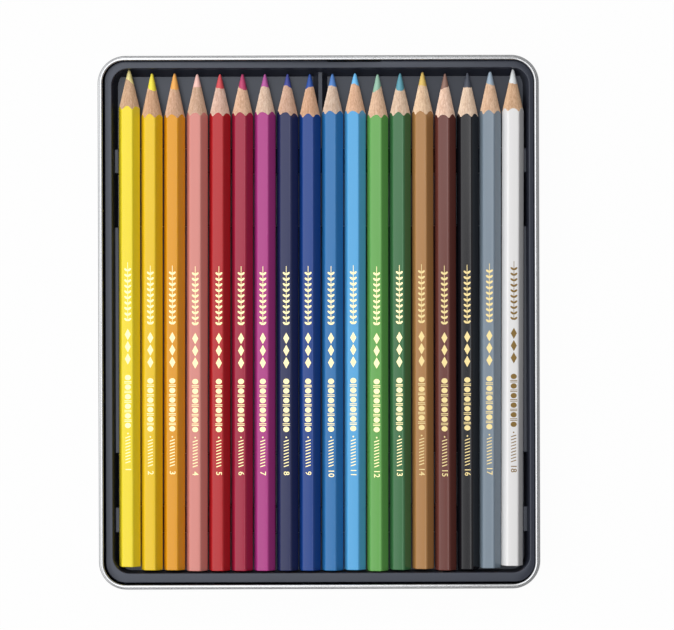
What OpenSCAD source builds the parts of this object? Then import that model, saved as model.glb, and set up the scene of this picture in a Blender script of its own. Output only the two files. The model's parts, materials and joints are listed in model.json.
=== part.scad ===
// Coloured pencil tin: a shallow sheet-metal tin with a moulded tray that holds one row of
// hexagonal pencils. The slip-on lid is stowed upside down under the tin.
// +X runs along the row, +Y towards the pencils' points and +Z up. The origin is the centre of
// the tin on the surface that it stands on.

/* [Pencils] */
// Pencils in the row
pencil_count = 18; // [6:1:24]
// Distance between two neighbouring pencils
pencil_pitch = 7.93; // [7.9:0.01:9]
// Width of a pencil across its flats
pencil_flats = 6.9; // [6.2:0.05:7]
// Radius that trims the six edges of a pencil
pencil_edge_r = 3.85; // [3.6:0.01:3.9]
// Length of a pencil from its flat end to its point
pencil_len = 174.8; // [120:0.1:200]
// Radius of the coloured core
lead_r = 1.475; // [1:0.005:2]
// Radius of the blunt point
point_r = 0.4; // [0.2:0.05:0.8]
// Half of the angle that a pencil is sharpened to
point_angle = 12.8; // [10:0.1:16]
// Glue line between a core and its casing
glue_gap = 0.02; // [0.01:0.01:0.05]
// Turn of the pencils about their own length
pencil_roll = 12; // [0:0.5:15]
// How far the first and the last pencil lie towards the points, clear of the tray's corners
end_pencil_shift = 1.5; // [1.4:0.05:1.7]

/* [Tray] */
// Room beside the first and the last pencil
side_room = 2.05; // [1.9:0.05:5]
// Room in front of the points
tip_room = 2.05; // [2:0.05:6]
// Room behind the flat ends
end_room = 0.75; // [0.7:0.05:4]
// Thickness of the tray's sheet
tray_wall = 0.7; // [0.5:0.05:0.9]
// Inside corner radius of the tray
tray_corner_r = 6; // [5:0.1:6.2]
// Lean of the tray's side walls from rim to floor
wall_lean = 0.6; // [0.3:0.05:0.7]
// Lean of the wall in front of the points, at the floor
tip_wall_lean = 2.2; // [1:0.1:4]
// Height of that wall's steep upper part
tip_wall_steep = 4.3; // [4:0.1:5]
// Flange beside the first pencil
flange_left = 2.45; // [1.5:0.05:4]
// Flange beside the last pencil
flange_right = 1.75; // [1.5:0.05:4]
// Flange in front of the points
flange_front = 2.5; // [1.5:0.05:4]
// Flange behind the flat ends
flange_back = 3.3; // [1.5:0.05:4]
// Height of the flange's turned-down lip
flange_lip = 1.8; // [1:0.1:3]
// Width of the shallow thumb notch in the front flange
notch_w = 19.7; // [10:0.1:30]
// Depth of the thumb notch
notch_depth = 0.4; // [0.2:0.05:0.5]
// Place of the thumb notch along the row, from the row's middle
notch_x = 11.8; // [-30:0.1:30]

/* [Cradles] */
// Clearance between a pencil's edges and its groove
groove_gap = 0.25; // [0.2:0.01:0.3]
// Height of a pencil's axis below the flange
axis_drop = 3.25; // [3:0.05:3.6]
// Height of the lands between the grooves below a pencil's axis
land_drop = 1.8; // [1.6:0.05:2.4]
// Length of the front cradle, along the pencils
front_cradle_len = 8.4; // [5:0.1:12]
// Middle of the front cradle, from the middle of the pencils
front_cradle_y = 56.9; // [50:0.1:60]
// Length of the middle cradle
mid_cradle_len = 79.6; // [40:0.1:82]
// Middle of the middle cradle
mid_cradle_y = -6.2; // [-8:0.1:4]
// Length of the back cradle
back_cradle_len = 8.8; // [5:0.1:12]
// Middle of the back cradle
back_cradle_y = -69.6; // [-72:0.1:-64]
// Lean of a cradle's ends from land to floor
cradle_lean = 0.5; // [0.2:0.05:1]
// Width of the top of the rib between the points
rib_top_w = 1.3; // [0.8:0.05:1.6]
// Width of the foot of that rib
rib_foot_w = 5; // [3:0.1:6]
// Height of the rib's top below a pencil's axis
rib_drop = 2.75; // [2.7:0.05:4]

/* [Tin] */
// Thickness of the tin's sheet
sheet = 0.3; // [0.2:0.01:0.35]
// Height of the tin from its floor to its mouth
tin_h = 12.2; // [11.8:0.1:16]
// Height of the mouth above the tray's flange
flange_drop = 1.5; // [1.3:0.05:2]
// Gap between tin and tray beside the first pencil
gap_left = 0.87; // [0.15:0.01:2]
// Gap between tin and tray beside the last pencil
gap_right = 0.18; // [0.15:0.01:2]
// Gap between tin and tray in front of the points
gap_front = 0.2; // [0.15:0.01:2]
// Gap between tin and tray behind the flat ends
gap_back = 0.8; // [0.15:0.01:2]
// Outside corner radius of the tin's wall
tin_corner_r = 9; // [8:0.1:9.5]
// Thickness of the mouth's rolled hem
hem_d = 1; // [0.8:0.05:1.2]
// Outside radius of the bend between floor and wall
tin_bend_r = 2; // [1.9:0.1:3]
// How far the stop bead stands out of the wall
bead_out = 0.8; // [0.5:0.05:1]
// Distance from the mouth down to the middle of the stop bead
bead_drop = 4.6; // [3.6:0.1:5]
// Vertical gap between stacked pieces
seat_gap = 0.1; // [0.05:0.05:0.3]

/* [Lid] */
// Clearance between the lid's skirt and the tin's wall
lid_gap = 0.2; // [0.1:0.01:0.3]
// Depth of the lid's skirt, inside
skirt_depth = 4.3; // [3.8:0.1:4.6]
// Height of the fold along the skirt's edge
fold_h = 1.2; // [0.8:0.1:1.6]
// How far that fold stands out
fold_out = 0.12; // [0.05:0.01:0.3]
// Outside radius of the lid's edge bend
lid_bend_r = 1.8; // [1.5:0.1:1.9]
// Width of the border round the lid's raised panel
border_w = 7; // [5:0.1:12]
// Height of the lid's raised panel
panel_step = 0.4; // [0.2:0.05:0.8]
// Width of the slope between panel and border
panel_slope = 0.6; // [0.4:0.05:1]

/* [Hidden] */
$fn = 64;
overlap = 0.5;
casings = [for (i = [1:pencil_count]) str("pencil_", i < 10 ? "0" : "", i, "_casing")];
leads = [for (i = [1:pencil_count]) str("pencil_", i < 10 ? "0" : "", i, "_lead")];

// sizes in plan, from the row of pencils outwards
row_w = (pencil_count - 1) * pencil_pitch;
open_w = row_w + 2 * (pencil_edge_r + side_room);
open_l = pencil_len + tip_room + end_room;
flange_w = open_w + flange_left + flange_right;
flange_l = open_l + flange_front + flange_back;
mouth_w = flange_w + gap_left + gap_right;
mouth_l = flange_l + gap_front + gap_back;
tin_w = mouth_w + 2 * hem_d;
tin_l = mouth_l + 2 * hem_d;
lid_w = tin_w + 2 * (lid_gap + sheet);
lid_l = tin_l + 2 * (lid_gap + sheet);
lid_corner_r = tin_corner_r + lid_gap + sheet;

// places in plan
flange_x = (gap_left - gap_right) / 2;
flange_y = (gap_back - gap_front) / 2;
row_x = flange_x + (flange_left - flange_right) / 2;
open_y = flange_y + (flange_back - flange_front) / 2;
row_y = open_y + (end_room - tip_room) / 2;
flange_corner_r = tray_corner_r + (flange_left + flange_right) / 4;

// heights above the surface that the lid stands on
skirt_top_z = panel_step + sheet + skirt_depth;
tin_z = panel_step + sheet + seat_gap;
mouth_z = tin_z + tin_h;
bead_z = mouth_z - bead_drop;
tray_z = tin_z + sheet + seat_gap;
floor_z = tray_z + tray_wall;
flange_z = mouth_z - flange_drop;
axis_z = flange_z - axis_drop;
land_z = axis_z - land_drop;
rib_z = axis_z - rib_drop;
groove_r = pencil_edge_r + groove_gap;
hollow_z = axis_z - groove_r - tray_wall;

// how far each pencil between the first and the last has slid towards the points
slides = [0.3, 0.3, 0, 0, 0, 0, 0, 0, 0, 0.2, -0.2, 0.2, 0.5, 0, 0.3, 0.7];

// lengths along a pencil
wood_len = pencil_len - (lead_r + glue_gap - point_r) / tan(point_angle);
cone_start = pencil_len - (pencil_edge_r - point_r) / tan(point_angle);

pencil_colors = [
    [0.97, 0.89, 0.30], [0.95, 0.80, 0.22], [0.91, 0.64, 0.22], [0.86, 0.55, 0.48],
    [0.76, 0.16, 0.18], [0.66, 0.13, 0.27], [0.72, 0.25, 0.57], [0.18, 0.19, 0.40],
    [0.17, 0.28, 0.58], [0.29, 0.48, 0.72], [0.37, 0.66, 0.85], [0.42, 0.68, 0.36],
    [0.27, 0.50, 0.30], [0.71, 0.50, 0.27], [0.45, 0.21, 0.19], [0.14, 0.14, 0.16],
    [0.51, 0.58, 0.64], [0.90, 0.90, 0.89]
];

// Flat outline of a rectangle with round corners
module round_rect(w, l, r) {
    square([w - 2 * r, l], center = true);
    square([w, l - 2 * r], center = true);
    for (x = [-1, 1], y = [-1, 1])
        translate([x * (w / 2 - r), y * (l / 2 - r)])
            circle(r);
}

// Sweeps a profile round that outline: the profile's x points outwards from it, its y up
module around(w, l, r) {
    for (side = [0, 1])
        mirror([side, 0, 0])
            translate([w / 2, l / 2 - r, 0])
                rotate([90, 0, 0])
                    linear_extrude(l - 2 * r)
                        children();
    for (side = [0, 1])
        mirror([0, side, 0])
            translate([w / 2 - r, l / 2, 0])
                rotate([90, 0, -90])
                    linear_extrude(w - 2 * r)
                        mirror([1, 0])
                            children();
    for (x = [0, 1], y = [0, 1])
        mirror([x, 0, 0])
            mirror([0, y, 0])
                translate([w / 2 - r, l / 2 - r, 0])
                    rotate_extrude(angle = 90)
                        translate([r, 0])
                            children();
}

// Quarter ring of sheet that bends a floor at height z up into a wall whose outside is at x = 0
module bend(r, z) {
    translate([-r, z + r])
        intersection() {
            difference() {
                circle(r);
                circle(r - sheet);
            }
            translate([0, -r])
                square(r);
        }
}

module lid_profile() {
    edge = -border_w;
    bend(lid_bend_r, panel_step);
    translate([-sheet, panel_step + lid_bend_r])
        square([sheet, skirt_top_z - panel_step - lid_bend_r]);
    translate([-sheet, skirt_top_z - fold_h])
        square([sheet + fold_out, fold_h]);
    polygon([
        [edge - panel_slope - 2 * overlap, 0],
        [edge - panel_slope, 0],
        [edge, panel_step],
        [-lid_bend_r, panel_step],
        [-lid_bend_r, panel_step + sheet],
        [edge - sheet / 4, panel_step + sheet],
        [edge - panel_slope - sheet / 4, sheet],
        [edge - panel_slope - 2 * overlap, sheet]
    ]);
}

module lid() {
    inset = border_w + panel_slope + overlap;
    corner = max(lid_corner_r - inset, 1);
    color([0.80, 0.81, 0.82]) {
        around(lid_w, lid_l, lid_corner_r)
            lid_profile();
        linear_extrude(sheet)
            round_rect(lid_w - 2 * inset, lid_l - 2 * inset, corner);
    }
}

module tin_profile() {
    bend(tin_bend_r, 0);
    translate([-tin_bend_r - 2 * overlap, 0])
        square([2 * overlap, sheet]);
    difference() {
        union() {
            translate([-sheet, tin_bend_r])
                square([sheet, tin_h - tin_bend_r - hem_d / 2]);
            intersection() {
                translate([0, tin_h - bead_drop])
                    circle(bead_out);
                translate([-sheet, 0])
                    square([sheet + bead_out, tin_h]);
            }
        }
        translate([0, tin_h - bead_drop])
            circle(bead_out - sheet);
    }
    translate([-hem_d / 2, tin_h - hem_d / 2])
        circle(hem_d / 2);
}

module tin_base() {
    inset = tin_bend_r + overlap;
    color([0.84, 0.85, 0.86])
        translate([0, 0, tin_z]) {
            around(tin_w, tin_l, tin_corner_r)
                tin_profile();
            linear_extrude(sheet)
                round_rect(tin_w - 2 * inset, tin_l - 2 * inset, tin_corner_r - inset);
        }
}

// Flat plate of the flange, with its turned-down lip and its thumb notch
module tray_flange() {
    difference() {
        union() {
            translate([flange_x, flange_y, flange_z - tray_wall])
                linear_extrude(tray_wall)
                    round_rect(flange_w, flange_l, flange_corner_r);
            translate([flange_x, flange_y, flange_z - flange_lip])
                linear_extrude(flange_lip)
                    difference() {
                        round_rect(flange_w, flange_l, flange_corner_r);
                        round_rect(flange_w - 2 * tray_wall, flange_l - 2 * tray_wall,
                            flange_corner_r - tray_wall);
                    }
        }
        translate([row_x, open_y, flange_z - flange_lip - 1])
            linear_extrude(flange_lip + 2)
                round_rect(open_w, open_l, tray_corner_r);
        translate([row_x + notch_x, flange_y + flange_l / 2, flange_z - flange_lip - 1])
            linear_extrude(flange_lip + 2)
                polygon([
                    [-notch_w / 2, 0.1],
                    [-notch_w / 2 + 2 * notch_depth, -notch_depth],
                    [notch_w / 2 - 2 * notch_depth, -notch_depth],
                    [notch_w / 2, 0.1]
                ]);
    }
}

module tray_walls() {
    translate([row_x, open_y, 0])
        around(open_w, open_l, tray_corner_r)
            polygon([
                [0, flange_z],
                [tray_wall, flange_z],
                [tray_wall - wall_lean, tray_z],
                [-wall_lean, tray_z]
            ]);
    translate([row_x, open_y, tray_z])
        linear_extrude(tray_wall)
            round_rect(open_w - wall_lean, open_l - wall_lean, tray_corner_r - wall_lean / 2);
}

// Solid bar across the tray, from the floor up to the given height; y is the bar's middle
module bar(y, len, top_z, lean) {
    translate([row_x - open_w / 2, row_y + y, 0])
        rotate([90, 0, 90])
            linear_extrude(open_w)
                polygon([
                    [-len / 2 - lean, floor_z - tray_wall / 2],
                    [len / 2 + lean, floor_z - tray_wall / 2],
                    [len / 2, top_z],
                    [-len / 2, top_z]
                ]);
}

// Space under a cradle, open below
module cradle_hollow(y, len) {
    translate([row_x, row_y + y, tray_z + (hollow_z - tray_z) / 2])
        cube([open_w - 2 * (wall_lean + tray_wall), len - 2 * tray_wall,
            hollow_z - tray_z], center = true);
    translate([row_x, row_y + y, tray_z])
        cube([open_w - 2 * (wall_lean + tray_wall), len - 2 * tray_wall, tray_wall],
            center = true);
}

// Sloped foot of the wall in front of the points
module tip_wall() {
    steep_z = flange_z - tip_wall_steep;
    translate([row_x - open_w / 2, open_y + open_l / 2, 0])
        rotate([90, 0, 90])
            linear_extrude(open_w)
                polygon([
                    [0, steep_z],
                    [-wall_lean / 2, steep_z],
                    [-tip_wall_lean, floor_z - tray_wall / 2],
                    [0, floor_z - tray_wall / 2]
                ]);
}

// Rib on the row's middle line, from the front wall to the front cradle
module tip_rib() {
    start_y = row_y + front_cradle_y;
    translate([row_x, open_y + open_l / 2, 0])
        rotate([90, 0, 0])
            linear_extrude(open_y + open_l / 2 - start_y)
                polygon([
                    [-rib_foot_w / 2, floor_z - tray_wall / 2],
                    [rib_foot_w / 2, floor_z - tray_wall / 2],
                    [rib_top_w / 2, rib_z],
                    [-rib_top_w / 2, rib_z]
                ]);
}

module tray() {
    cradles = [
        [front_cradle_y, front_cradle_len],
        [mid_cradle_y, mid_cradle_len],
        [back_cradle_y, back_cradle_len]
    ];
    groove_start = row_y + back_cradle_y - back_cradle_len;
    groove_end = row_y + front_cradle_y + front_cradle_len;
    color([0.33, 0.34, 0.38])
        difference() {
            union() {
                tray_flange();
                tray_walls();
                intersection() {
                    translate([row_x, open_y, tray_z])
                        linear_extrude(flange_z - tray_z)
                            round_rect(open_w, open_l, tray_corner_r);
                    union() {
                        for (c = cradles)
                            bar(c[0], c[1], land_z, cradle_lean);
                        tip_wall();
                        tip_rib();
                    }
                }
            }
            for (i = [1:pencil_count])
                translate([pencil_x(i), groove_end, axis_z])
                    rotate([90, 0, 0])
                        cylinder(h = groove_end - groove_start, r = groove_r);
            for (c = cradles)
                cradle_hollow(c[0], c[1]);
        }
}

function pencil_x(i) = row_x + (i - (pencil_count + 1) / 2) * pencil_pitch;
function is_end(i) = i == 1 || i == pencil_count;
function pencil_color(i) = pencil_colors[(i - 1) % len(pencil_colors)];
function pencil_slide(i) = is_end(i) ? end_pencil_shift : slides[(i - 2) % len(slides)];

// Puts a pencil that was made along +Z, its flat end at 0, into its place in the row
module place_pencil(i) {
    end_y = row_y - pencil_len / 2 + pencil_slide(i);
    roll = i == pencil_count ? 0 : -pencil_roll;
    translate([pencil_x(i), end_y, axis_z])
        rotate([0, roll, 0])
            rotate([-90, 0, 0])
                children();
}

module pencil_casing(i) {
    color(pencil_color(i))
        place_pencil(i)
            difference() {
                intersection() {
                    cylinder(h = wood_len, r = pencil_flats / sqrt(3), $fn = 6);
                    rotate_extrude()
                        polygon([
                            [0, 0],
                            [pencil_edge_r, 0],
                            [pencil_edge_r, cone_start],
                            [lead_r + glue_gap, wood_len],
                            [0, wood_len]
                        ]);
                }
                translate([0, 0, -1])
                    cylinder(h = pencil_len, r = lead_r + glue_gap);
            }
}

module pencil_lead(i) {
    cone_len = (lead_r - point_r) / tan(point_angle);
    color(pencil_color(i))
        place_pencil(i) {
            rotate_extrude()
                polygon([
                    [0, 0],
                    [lead_r, 0],
                    [lead_r, pencil_len - point_r - cone_len],
                    [point_r, pencil_len - point_r],
                    [0, pencil_len - point_r]
                ]);
            translate([0, 0, pencil_len - point_r])
                sphere(point_r);
        }
}

lid();
tin_base();
tray();
for (i = [1:pencil_count]) {
    pencil_casing(i);
    pencil_lead(i);
}
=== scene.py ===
"""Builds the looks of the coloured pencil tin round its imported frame.

A shallow tinplate box with a rolled mouth holds a moulded tray of hexagonal pencils in one row, and its
slip-on lid is stowed upside down under it. +X runs along the row, +Y towards the points and +Z up. Lengths
are metres.
"""

import json
import math
from collections import namedtuple
from contextlib import contextmanager
from functools import wraps

import bmesh
import bpy
from bpy.props import CollectionProperty, EnumProperty, FloatProperty, FloatVectorProperty
from bpy.props import IntProperty, PointerProperty
from mathutils import Matrix, Vector

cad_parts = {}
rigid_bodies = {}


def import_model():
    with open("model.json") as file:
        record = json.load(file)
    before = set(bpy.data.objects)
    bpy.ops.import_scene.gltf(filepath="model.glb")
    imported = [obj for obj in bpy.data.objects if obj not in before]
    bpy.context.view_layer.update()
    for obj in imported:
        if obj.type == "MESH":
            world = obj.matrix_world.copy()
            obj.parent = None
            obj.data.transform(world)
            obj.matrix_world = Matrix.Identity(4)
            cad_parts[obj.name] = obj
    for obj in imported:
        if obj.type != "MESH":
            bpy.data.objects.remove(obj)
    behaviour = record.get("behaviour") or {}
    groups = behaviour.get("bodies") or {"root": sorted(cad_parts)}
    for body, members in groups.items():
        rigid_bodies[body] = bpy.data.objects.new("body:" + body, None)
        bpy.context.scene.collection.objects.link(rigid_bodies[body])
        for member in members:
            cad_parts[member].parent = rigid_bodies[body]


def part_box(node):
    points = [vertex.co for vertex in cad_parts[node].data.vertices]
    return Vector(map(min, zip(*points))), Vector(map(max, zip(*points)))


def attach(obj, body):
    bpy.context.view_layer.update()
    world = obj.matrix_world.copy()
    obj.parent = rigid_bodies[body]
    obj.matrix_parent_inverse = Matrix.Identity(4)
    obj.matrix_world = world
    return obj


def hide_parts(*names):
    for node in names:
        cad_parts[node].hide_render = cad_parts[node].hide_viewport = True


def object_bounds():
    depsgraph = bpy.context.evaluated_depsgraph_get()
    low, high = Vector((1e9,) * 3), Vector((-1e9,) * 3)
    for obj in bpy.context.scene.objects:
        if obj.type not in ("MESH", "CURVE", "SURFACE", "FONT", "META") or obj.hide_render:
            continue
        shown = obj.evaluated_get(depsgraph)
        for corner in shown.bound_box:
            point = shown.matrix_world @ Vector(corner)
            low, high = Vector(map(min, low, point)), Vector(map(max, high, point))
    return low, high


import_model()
CAD_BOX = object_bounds()

bl_info = {
    "name": "Coloured Pencil Tin",
    "version": (1, 0, 0),
    "blender": (4, 5, 0),
    "location": "3D View > Sidebar > Pencil Tin",
    "description": "Dresses a shallow tin of hexagonal coloured pencils",
    "category": "Add Mesh",
}

MM = 0.001
PHOTO_WIDTH_PX = 674
# Points closer than this are one
MERGE_DISTANCE = 1e-7
# Edges that bend more than this stay sharp
SHARP_ANGLE = math.radians(35)
# Half of the turn that one flat of a hexagon takes up
HALF_SIDE_TURN = math.radians(30)
# How deep the foil reaches into the lacquer
FOIL_SUNK = 0.03 * MM
# Tones of one gold foil: pale is the foil's own pale gold, the other two are darker copies of it with
# painted shade, for foil that turns away from the softbox
GOLDS = ("pale", "deep", "antique")


def linear(red, green, blue):
    """A colour on the 0 to 255 scale of a screen, as the linear values that a shader takes."""
    return tuple(
        ((c / 255 + 0.055) / 1.055) ** 2.4 if c > 10 else c / 255 / 12.92 for c in (red, green, blue)
    )


def size(name, description, millimetres):
    """A length setting, given in millimetres."""
    return FloatProperty(
        name=name, description=description, default=millimetres * MM, precision=5, unit="LENGTH"
    )


def angle(name, description, degrees):
    """An angle setting, given in degrees."""
    return FloatProperty(
        name=name, description=description, default=math.radians(degrees), subtype="ANGLE", unit="ROTATION"
    )


def amount(name, description, default, least):
    """A setting that counts things."""
    return IntProperty(name=name, description=description, default=default, min=least)


def strength(name, description, default, unit="NONE"):
    """The strength of a light, as a plain number or a power."""
    return FloatProperty(name=name, description=description, default=default, min=0, unit=unit)


def colour(name, description, red, green, blue):
    """A colour setting, given on the 0 to 255 scale of a screen."""
    return FloatVectorProperty(
        name=name, description=description, default=linear(red, green, blue), subtype="COLOR", min=0, max=1
    )


# --------------------------------------------------------------------------------------------------
# Settings
# --------------------------------------------------------------------------------------------------


class TinSizes(bpy.types.PropertyGroup):
    """Sizes of the sheet-metal tin."""

    sheet: size("Sheet", "Thickness of the tinplate", 0.3)
    corner: size("Corner radius", "Radius of the wall's corners, outside", 9.0)
    floor_bend: size("Floor bend", "Outside radius between floor and wall", 2.0)
    hem: size("Hem", "Height of the rolled hem at the mouth", 1.0)
    hem_width: size("Hem width", "Width of the rolled hem, seen from above", 1.15)
    bead_out: size("Bead", "How far the stop bead stands out of the wall", 0.8)
    bead_drop: size("Bead drop", "Distance from the mouth to the middle of the stop bead", 4.6)
    bead_crown: size("Bead crown", "Outside radius of the bead's crown", 0.6)
    bead_fillet: size("Bead fillet", "Radius between the bead and the wall", 0.3)


class LidSizes(bpy.types.PropertyGroup):
    """Sizes of the slip-on lid."""

    sheet: size("Sheet", "Thickness of the tinplate", 0.3)
    corner: size("Corner radius", "Radius of the skirt's corners, outside", 9.5)
    edge_bend: size("Edge bend", "Outside radius between panel and skirt", 1.8)
    border: size("Border", "Width of the border round the raised panel", 7.0)
    panel_step: size("Panel step", "Height of the raised panel", 0.4)
    panel_slope: size("Panel slope", "Width of the slope between panel and border", 0.6)
    fold_height: size("Fold height", "Height of the fold along the skirt's edge", 1.2)
    fold_out: size("Fold", "How far the fold stands out of the skirt", 0.12)


class TraySizes(bpy.types.PropertyGroup):
    """Sizes of the moulded tray."""

    sheet: size("Sheet", "Thickness of the moulding", 0.7)
    corner: size("Corner radius", "Radius of the opening's corners", 6.0)
    flange_left: size("Left flange", "Flange beside the first pencil", 2.45)
    flange_right: size("Right flange", "Flange beside the last pencil", 1.75)
    flange_front: size("Front flange", "Flange in front of the points", 2.65)
    flange_back: size("Back flange", "Flange behind the flat ends", 3.3)
    flange_corner: size("Flange corner", "Radius of the flange's corners, outside", 7.05)
    flange_fall: size("Flange fall", "How far the flange falls away towards its edge", 0.25)
    lip: size("Lip", "Height of the flange's turned-down lip", 1.8)
    lip_round: size("Lip rounding", "Radius between flange and lip", 0.25)
    mouth_round: size("Mouth rounding", "Radius between flange and wall", 0.25)
    wall_lean: size("Wall lean", "Lean of the front and back wall from rim to floor", 0.6)
    side_lean: size("Side wall lean", "Lean of the left and right wall from rim to floor", 1.8)
    tip_wall_lean: size("Tip wall lean", "Lean of the wall in front of the points, at the floor", 2.2)
    tip_wall_steep: size("Tip wall", "Height of that wall's steep upper part", 4.3)
    groove_gap: size("Groove gap", "Clearance between a pencil's edges and its groove", 0.25)
    land_drop: size("Land drop", "Height of the lands below a pencil's axis", 1.8)
    cradle_lean: size("Cradle lean", "Lean of a cradle's ends from land to floor", 0.5)
    edge_round: size("Edge rounding", "Rounding of the edges of the lands", 0.16)
    rib_top: size("Rib top", "Width of the top of the rib between the points", 1.3)
    rib_foot: size("Rib foot", "Width of the foot of that rib", 5.0)
    rib_drop: size("Rib drop", "Height of the rib's top below a pencil's axis", 2.75)
    notch_width: size("Notch width", "Width of the thumb notch in the front flange", 19.7)
    notch_depth: size("Notch depth", "Depth of the thumb notch", 0.4)
    notch_place: size("Notch place", "Place of the thumb notch along the row, from its middle", 11.8)
    back_cradle: size("Back cradle", "Length of the back cradle", 8.8)
    back_cradle_y: size("Back cradle place", "Middle of the back cradle, from the middle of the row", -69.6)
    middle_cradle: size("Middle cradle", "Length of the middle cradle", 79.6)
    middle_cradle_y: size("Middle cradle place", "Middle of the middle cradle", -6.2)
    front_cradle: size("Front cradle", "Length of the front cradle", 8.4)
    front_cradle_y: size("Front cradle place", "Middle of the front cradle", 56.9)


class PencilSizes(bpy.types.PropertyGroup):
    """Sizes that all pencils share."""

    flats: size("Flats", "Width across the flats", 6.9)
    edge_round: size("Edge rounding", "Radius of the six long edges", 0.9)
    crown: size("Crown", "How far the lacquer swells a flat in its middle", 0.02)
    end_round: size("End rounding", "Rounding of the cut end", 0.3)
    lacquer: size("Lacquer", "Thickness of the lacquer where the cone cuts it", 0.05)
    core_radius: size("Core radius", "Radius of the coloured core", 1.475)
    glue_gap: size("Glue line", "Gap between core and wood", 0.02)
    roll: angle("Roll", "Turn of the pencils about their own length", -12)
    back_hold: size("Back hold", "Where the back cradle holds a pencil, from its flat end", 17.8)
    front_hold: size("Front hold", "Where the front cradle holds it", 144.3)


class PencilLook(bpy.types.PropertyGroup):
    """What differs from one pencil to the next."""

    lacquer: colour("Lacquer", "Colour of the barrel", 200, 200, 200)
    core: colour("Core", "Colour of the core", 200, 200, 200)
    cedar: colour("Cedar", "Colour of the bare wood", 232, 196, 165)
    # Which tone of the foil: its own pale gold, or a darker copy of it with painted shade
    foil: EnumProperty(
        name="Foil",
        description="Gold that the barrel is stamped with",
        items=[(gold, f"{gold.title()} gold", f"Stamped with {gold} gold") for gold in GOLDS],
    )
    core_length: size("Core length", "Length of core that shows, seen from above", 4.7)
    core_slant: size("Core slant", "How much longer it shows on the right than on the left", 0)
    point_radius: size("Point radius", "Radius of the blunt point", 0.4)
    point_angle: angle("Point angle", "Half of the angle that the pencil is sharpened to", 12.8)
    cone_lean: size("Cone lean", "How much further the cone cuts the barrel on the right", 0)
    extra_roll: angle("Extra roll", "Turn on top of the turn that all pencils share", 0)
    stamp_side: size("Stamp side", "How far the stamping sits to the right of its flat's middle", 0.15)
    front_drift: size("Front drift", "How far right of its groove's middle it lies in the front cradle", 0)
    back_drift: size("Back drift", "How far right of its groove's middle it lies in the back cradle", 0)


class FoilSizes(bpy.types.PropertyGroup):
    """Sizes of the stamping on a barrel, with places from the pencil's flat end."""

    thickness: size("Thickness", "How far the foil stands on the lacquer", 0.015)
    sprig_start: size("Sprig start", "Where the sprig of leaves starts", 86.5)
    sprig_length: size("Sprig length", "Length of the sprig of leaves", 20.6)
    sprig_width: size("Sprig width", "Width of the sprig of leaves", 2.4)
    leaf_pairs: amount("Leaf pairs", "Pairs of leaves on the sprig", 10, 2)
    leaf_width: size("Leaf width", "Width of a leaf", 0.75)
    leaf_lean: angle("Leaf lean", "How steeply a leaf leaves the stem", 38)
    stem_width: size("Stem width", "Width of the sprig's stem", 0.2)
    lozenge_start: size("Lozenge start", "Middle of the first lozenge", 73.15)
    lozenge_step: size("Lozenge step", "Distance between two lozenges", 4.3)
    lozenge_length: size("Lozenge length", "Length of a lozenge", 3.95)
    lozenge_width: size("Lozenge width", "Width of a lozenge", 2.15)
    lozenges: amount("Lozenges", "Number of lozenges", 3, 1)
    beads_start: size("Beads start", "Where the row of beads and bars starts", 48.1)
    beads_length: size("Beads length", "Length of that row", 20.2)
    beads_width: size("Beads width", "Width of that row", 2.5)
    beads: amount("Beads", "Number of beads in the row", 6, 2)
    bar_length: size("Bar", "Length of a bar between two beads, along the pencil", 0.26)
    bar_shift: size("Bar shift", "How far a bar of a pair stands from the pair's middle", 0.27)
    dot_place: size("Dot place", "Place of the dot", 46.95)
    dot_width: size("Dot width", "Width of the dot", 0.56)
    ticks_start: size("Ticks start", "Where the row of slanted ticks starts", 36.9)
    ticks_length: size("Ticks length", "Length of that row", 8.8)
    ticks_width: size("Ticks width", "Width of that row", 1.8)
    tick_length: size("Tick", "Length of a tick along the pencil", 0.34)
    tick_slant: size("Tick slant", "How far a tick's ends slant along the pencil", 0.3)
    ticks: amount("Ticks", "Number of slanted ticks", 9, 2)
    number_place: size("Number place", "Middle of the plain number", 34.3)
    number_height: size("Number height", "Height of the number's digits", 2.1)


class Finishes(bpy.types.PropertyGroup):
    """Colours that don't belong to one pencil."""

    tinplate: colour("Tinplate", "Bare tin-coated steel", 200, 201, 203)
    tray: colour("Tray", "Dark blue-grey moulded plastic", 43, 46, 57)
    foil_pale: colour("Pale foil", "Pale gold foil", 245, 231, 176)
    # Deep and darkest foil: the pale gold with painted shade, where the foil turns away from the softbox
    foil_deep: colour("Deep foil", "Deep gold foil", 208, 188, 134)
    foil_antique: colour("Antique foil", "Dull dark gold foil", 138, 112, 66)
    floor: colour("Floor", "Floor of the studio", 212, 212, 212)


class Studio(bpy.types.PropertyGroup):
    """Light and camera."""

    camera_height: size("Camera height", "Height of the camera over the flange", 1300)
    camera_roll: angle("Camera roll", "Turn of the camera about its own axis", -0.17)
    pixels_per_metre: FloatProperty(
        name="Scale", description="Pixels of the photograph per metre at the flange", default=2846
    )
    look_x: size("Look at, along the row", "Where the camera looks, from the middle of the tin", 6.37)
    look_y: size("Look at, along the pencils", "Where the camera looks, from the middle of the tin", 2.52)
    softbox: strength("Softbox", "Power of the overhead softbox", 12.5, unit="POWER")
    left_light: strength("Left light", "Strength of the white wall on the left", 2.8)
    front_light: strength("Front light", "Strength of the light past the points", 0.75)
    fill: strength("Fill", "Strength of the light from all round", 0.06)


class PencilTinSettings(bpy.types.PropertyGroup):
    """All settings of the coloured pencil tin."""

    tin: PointerProperty(type=TinSizes)
    lid: PointerProperty(type=LidSizes)
    tray: PointerProperty(type=TraySizes)
    pencil: PointerProperty(type=PencilSizes)
    pencils: CollectionProperty(type=PencilLook)
    foil: PointerProperty(type=FoilSizes)
    finishes: PointerProperty(type=Finishes)
    studio: PointerProperty(type=Studio)


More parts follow.
